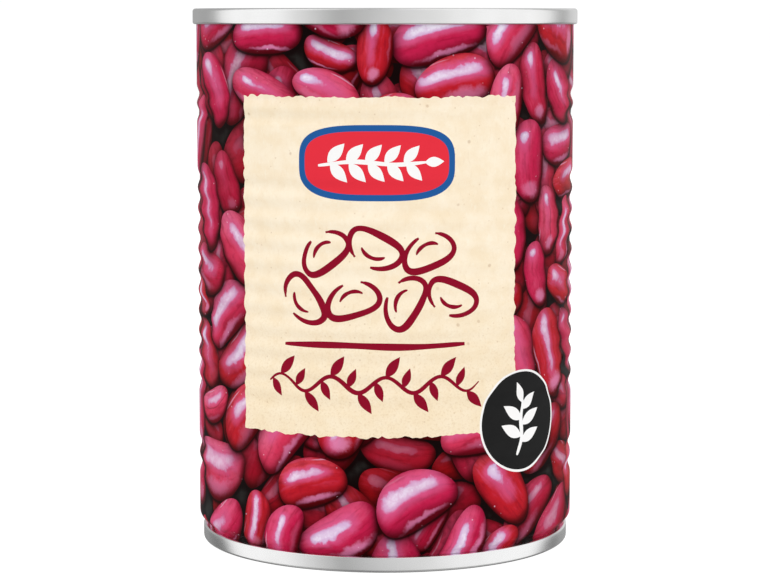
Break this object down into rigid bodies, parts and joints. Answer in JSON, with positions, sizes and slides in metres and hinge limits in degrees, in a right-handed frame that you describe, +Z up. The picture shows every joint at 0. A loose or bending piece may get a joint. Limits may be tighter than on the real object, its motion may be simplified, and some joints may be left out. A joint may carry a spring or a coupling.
{
  "type": "canned beans",
  "caption": "Round steel food can with a beaded printed body, a seamed end at top and base, and a drawn-in foot for stacking.",
  "frame": {"origin": "middle of the base, on the surface that the can stands on", "axes": "+Z up the can's axis, -Y towards the middle of the printed front"},
  "size_m": [0.0746, 0.0746, 0.1036],
  "materials": {
    "printed_tin": "lithographed print under clear varnish",
    "bare_tin": "bright tinplate with a soft grain"
  },
  "bodies": {
    "root": {"can_body": "printed_tin", "top_end": "bare_tin", "base_end": "bare_tin"}
  },
  "joints": []
}
